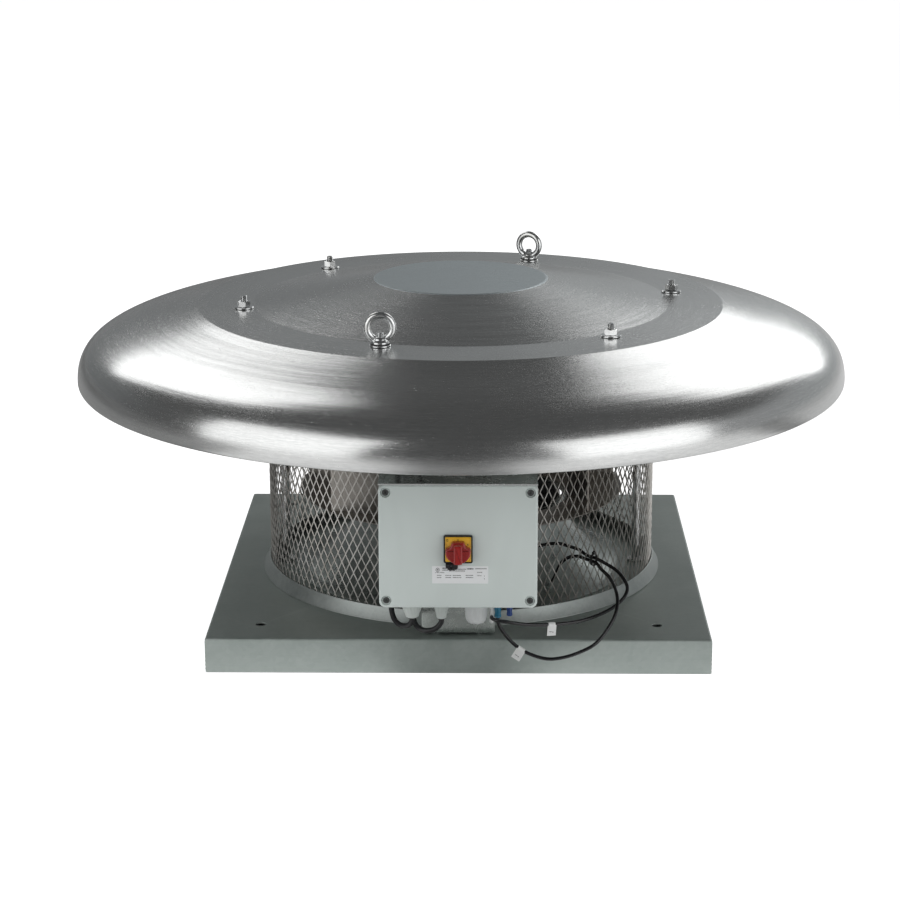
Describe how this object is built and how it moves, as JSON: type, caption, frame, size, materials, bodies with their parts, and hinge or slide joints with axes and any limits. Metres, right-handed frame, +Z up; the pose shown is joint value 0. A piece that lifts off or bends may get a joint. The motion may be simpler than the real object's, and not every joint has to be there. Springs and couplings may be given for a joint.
{
  "type": "roof exhaust fan",
  "caption": "Roof exhaust fan: square base, inlet bell, backward-curved impeller in a round mesh guard, wide spun hood with lifting eyes, and a control box with rotary switch.",
  "frame": {"origin": "fan axis at the lower edge of the base skirt", "axes": "+Z up along the fan axis, control box on the -Y side, +X to the right when facing the control box"},
  "size_m": [1.1426, 1.1426, 0.5069],
  "materials": {
    "galvanised_sheet": "zinc coated steel sheet, dull satin",
    "galvanised_ring": "zinc coated steel, satin",
    "expanded_mesh": "expanded steel mesh, zinc coated",
    "spun_aluminium": "spun aluminium with fine circular brushing",
    "inlet_sheet": "drawn zinc coated sheet",
    "impeller_sheet": "zinc coated sheet",
    "motor_paint": "dark paint",
    "zinc_steel": "bright zinc plated steel",
    "box_plastic": "light grey moulded plastic, fine texture",
    "gland_plastic": "light grey moulded plastic",
    "white_plastic": "off-white plastic",
    "blue_plastic": "blue plastic",
    "black_plastic": "black plastic",
    "yellow_plastic": "yellow plastic",
    "red_plastic": "red plastic",
    "cable_rubber": "black rubber and plastic tube"
  },
  "bodies": {
    "housing": {"base_plate": "galvanised_sheet", "blanking_cap": "white_plastic", "box_base": "box_plastic", "box_bracket": "galvanised_ring", "box_lid": "box_plastic", "cable_gland_1": "gland_plastic", "cable_gland_2": "gland_plastic", "eye_nut_1": "zinc_steel", "eye_nut_2": "zinc_steel", "guard_bottom_ring": "galvanised_ring", "guard_mesh": "expanded_mesh", "guard_top_ring": "galvanised_ring", "hood": "spun_aluminium", "hood_nut_1": "zinc_steel", "hood_nut_2": "zinc_steel", "hood_nut_3": "zinc_steel", "hood_nut_4": "zinc_steel", "inlet_bell": "inlet_sheet", "lid_screw_1": "gland_plastic", "lid_screw_2": "gland_plastic", "lid_screw_3": "gland_plastic", "lid_screw_4": "gland_plastic", "motor_cable_1": "cable_rubber", "motor_cable_2": "cable_rubber", "motor_housing": "motor_paint", "motor_plate": "galvanised_sheet", "pressure_tube_1": "cable_rubber", "pressure_tube_2": "cable_rubber", "stud_washer_1": "zinc_steel", "stud_washer_2": "zinc_steel", "stud_washer_3": "zinc_steel", "stud_washer_4": "zinc_steel", "stud_washer_5": "zinc_steel", "stud_washer_6": "zinc_steel", "support_post_1": "zinc_steel", "support_post_2": "zinc_steel", "support_post_3": "zinc_steel", "support_post_4": "zinc_steel", "switch_bezel": "black_plastic", "switch_body": "black_plastic", "switch_plate": "yellow_plastic", "tube_fitting_1": "white_plastic", "tube_fitting_2": "blue_plastic", "tube_fitting_3": "blue_plastic", "tube_flag_1": "white_plastic", "tube_flag_2": "white_plastic", "tube_tie": "black_plastic"},
    "impeller": {"impeller_backplate": "impeller_sheet", "impeller_shroud": "impeller_sheet", "impeller_hub": "zinc_steel", "motor_rotor": "zinc_steel", "impeller_blade_1": "impeller_sheet", "impeller_blade_2": "impeller_sheet", "impeller_blade_3": "impeller_sheet", "impeller_blade_4": "impeller_sheet", "impeller_blade_5": "impeller_sheet", "impeller_blade_6": "impeller_sheet", "impeller_blade_7": "impeller_sheet"},
    "knob": {"switch_knob": "red_plastic"},
    "padlock_slide": {"lock_slide": "black_plastic"}
  },
  "joints": [
    {"name": "impeller_spin", "type": "hinge", "parent": "housing", "child": "impeller", "pos_m": [0, 0, 0.305], "axis": [0, 0, 1], "continuous": true},
    {"name": "knob_turn", "type": "hinge", "parent": "housing", "child": "knob", "pos_m": [0.0015, -0.4312, 0.2065], "axis": [0, 1, 0], "range_deg": [-45, 45]},
    {"name": "lock_slide_out", "type": "slide", "parent": "housing", "child": "padlock_slide", "axis": [0, 0, -1], "range_m": [0, 0.004]}
  ]
}
